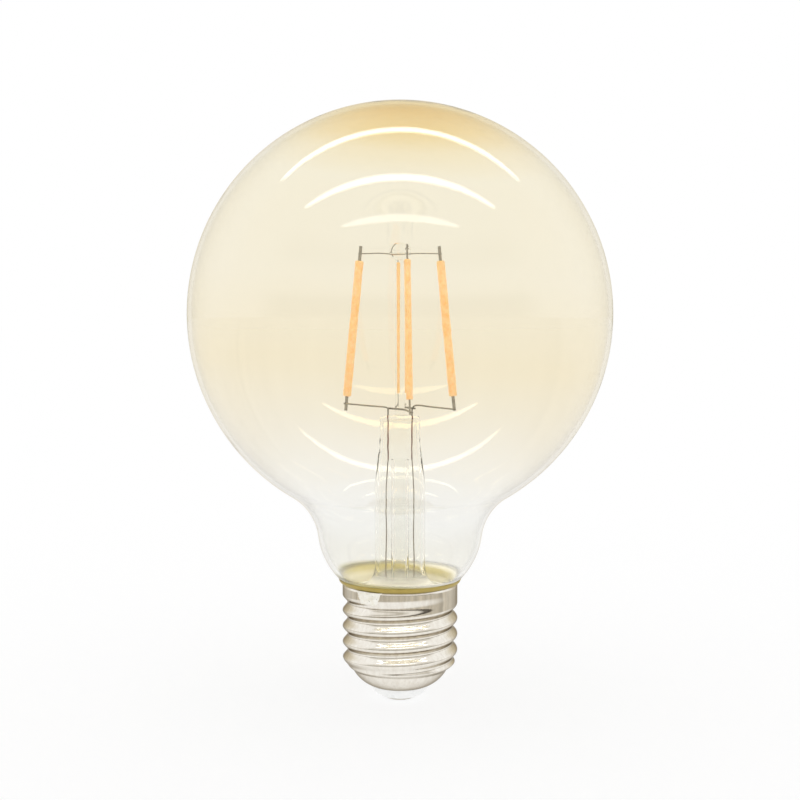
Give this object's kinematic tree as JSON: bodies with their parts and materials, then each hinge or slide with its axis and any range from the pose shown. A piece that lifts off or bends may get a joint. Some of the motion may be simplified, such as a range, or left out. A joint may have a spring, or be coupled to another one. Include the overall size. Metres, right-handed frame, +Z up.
{
  "type": "globe bulb",
  "caption": "Tinted glass globe lamp bulb with upright filament strips on a glass stem and a round-thread screw cap.",
  "frame": {"origin": "centre of the flat underside of the centre contact", "axes": "+Z up the bulb's axis from the contact to the top of the globe, +X to the right and -Y to the front as in the picture"},
  "size_m": [0.095, 0.095, 0.1347],
  "materials": {
    "tinted_glass": "blown glass with a pale amber tint",
    "clear_glass": "clear drawn and pressed glass",
    "nickel_shell": "rolled sheet, nickel plated, satin",
    "white_insulator": "moulded, smooth",
    "contact_metal": "stamped, nickel plated",
    "capping_cement": "baked resin cement, olive gold",
    "solder": "cooled solder, uneven",
    "phosphor_gel": "silicone with phosphor, orange, matt",
    "tab_metal": "stamped strip",
    "nickel_wire": "drawn nickel wire",
    "seal_wire": "copper-clad wire, dark red in the seal",
    "copper_wire": "drawn copper wire",
    "circuit_board": "laminate with green lacquer",
    "black_epoxy": "moulded epoxy",
    "capacitor_sleeve": "shrunk sleeve",
    "resistor_coat": "dipped lacquer"
  },
  "bodies": {
    "root": {"glass_envelope": "tinted_glass", "glass_stem": "clear_glass", "exhaust_tube": "clear_glass", "glass_pillar": "clear_glass", "screw_shell": "nickel_shell", "insulator": "white_insulator", "centre_contact": "contact_metal", "capping_cement": "capping_cement", "rim_solder": "solder", "left_filament": "phosphor_gel", "right_filament": "phosphor_gel", "front_filament": "phosphor_gel", "back_filament": "phosphor_gel", "left_lower_tab": "tab_metal", "left_upper_tab": "tab_metal", "right_lower_tab": "tab_metal", "right_upper_tab": "tab_metal", "front_lower_tab": "tab_metal", "front_upper_tab": "tab_metal", "back_lower_tab": "tab_metal", "back_upper_tab": "tab_metal", "left_inner_lead": "nickel_wire", "right_inner_lead": "nickel_wire", "front_jumper_wire": "nickel_wire", "back_jumper_wire": "nickel_wire", "top_cross_wire": "nickel_wire", "top_long_wire": "nickel_wire", "left_seal_wire": "seal_wire", "right_seal_wire": "seal_wire", "left_outer_lead": "copper_wire", "right_outer_lead": "copper_wire", "side_lead_wire": "copper_wire", "driver_board": "circuit_board", "bridge_rectifier": "black_epoxy", "driver_chip": "black_epoxy", "smoothing_capacitor": "capacitor_sleeve", "fuse_resistor": "resistor_coat"}
  },
  "joints": []
}
